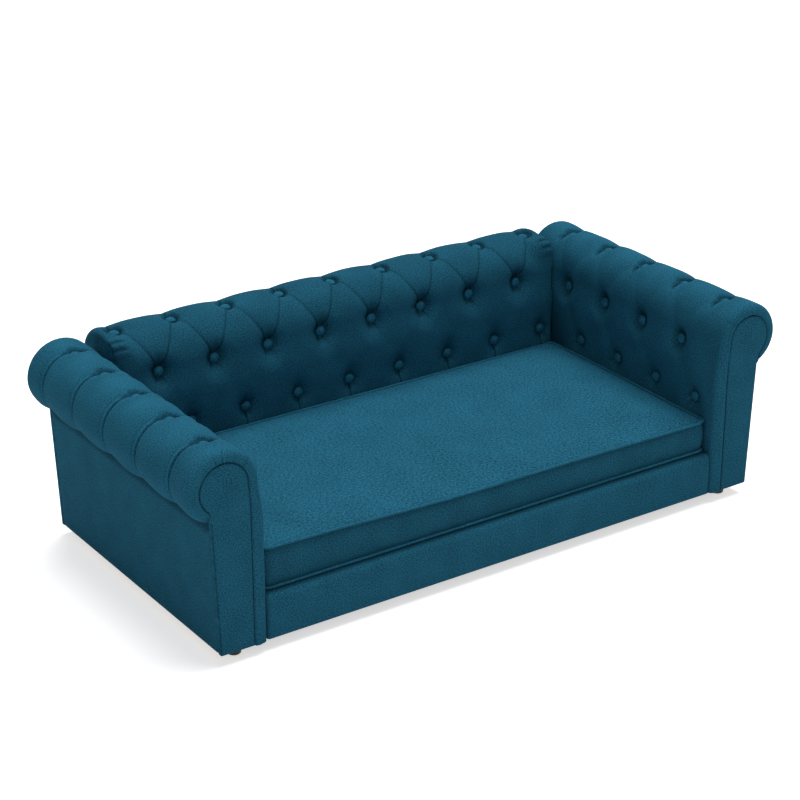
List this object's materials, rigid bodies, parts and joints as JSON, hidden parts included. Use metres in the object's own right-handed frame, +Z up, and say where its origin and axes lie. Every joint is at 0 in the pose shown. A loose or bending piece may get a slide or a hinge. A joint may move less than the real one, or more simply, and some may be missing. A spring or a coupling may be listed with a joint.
{
  "type": "pet sofa bed",
  "caption": "Low scroll-arm pet sofa with a button-tufted back and arms, an upholstered base on short feet and a loose piped box cushion that lifts out.",
  "frame": {"origin": "on the floor, under the middle of the whole sofa's bounding box, the back roll's overhang included", "axes": "+X to the right as seen from the front, along the seat; +Y from the front to the back; +Z up"},
  "size_m": [0.964, 0.4872, 0.2999],
  "materials": {
    "cloth": "matte",
    "button_cloth": "matte",
    "piping_cloth": "matte",
    "dust_cloth": "matte",
    "foam": "matte",
    "plywood": "matte",
    "timber": "matte",
    "card": "matte",
    "steel": "satin",
    "foot_plastic": "satin",
    "zip_metal": "satin"
  },
  "bodies": {
    "sofa": {"left_arm_pad": "cloth", "right_arm_pad": "cloth", "back_pad": "cloth", "left_arm_buttons": "button_cloth", "right_arm_buttons": "button_cloth", "back_buttons": "button_cloth", "left_front_facing": "cloth", "right_front_facing": "cloth", "left_rear_facing": "cloth", "right_rear_facing": "cloth", "left_side_panel": "cloth", "right_side_panel": "cloth", "rear_panel": "cloth", "left_front_end_board": "plywood", "right_front_end_board": "plywood", "left_rear_end_board": "plywood", "right_rear_end_board": "plywood", "left_inner_board": "plywood", "right_inner_board": "plywood", "back_inner_board": "plywood", "left_roll_former": "card", "right_roll_former": "card", "back_roll_former": "card", "left_top_rail": "timber", "right_top_rail": "timber", "back_top_rail": "timber", "left_bottom_rail": "timber", "right_bottom_rail": "timber", "back_bottom_rail": "timber", "left_packing_board": "timber", "right_packing_board": "timber", "back_packing_board": "timber", "left_back_post": "timber", "right_back_post": "timber", "front_rail": "timber", "front_rail_cover": "cloth", "rear_seat_rail": "timber", "left_seat_rail": "timber", "right_seat_rail": "timber", "left_cross_bar": "timber", "middle_cross_bar": "timber", "right_cross_bar": "timber", "seat_deck": "plywood", "deck_screws": "steel", "dust_cloth": "dust_cloth", "front_left_foot": "foot_plastic", "front_right_foot": "foot_plastic", "rear_left_foot": "foot_plastic", "rear_right_foot": "foot_plastic", "foot_screws": "steel", "frame_bolts": "steel", "bolt_washers": "steel", "tee_nuts": "steel"},
    "cushion": {"cushion_cover": "cloth", "cushion_foam": "foam", "top_piping": "piping_cloth", "bottom_piping": "piping_cloth", "cushion_zip": "piping_cloth"},
    "zip_slider": {"zip_slider": "zip_metal"}
  },
  "joints": [
    {"name": "cushion_lift", "type": "slide", "parent": "sofa", "child": "cushion", "axis": [0, 0, 1], "range_m": [0, 0.24]},
    {"name": "zip_slide", "type": "slide", "parent": "cushion", "child": "zip_slider", "axis": [1, 0, 0], "range_m": [-0.536, 0]}
  ]
}
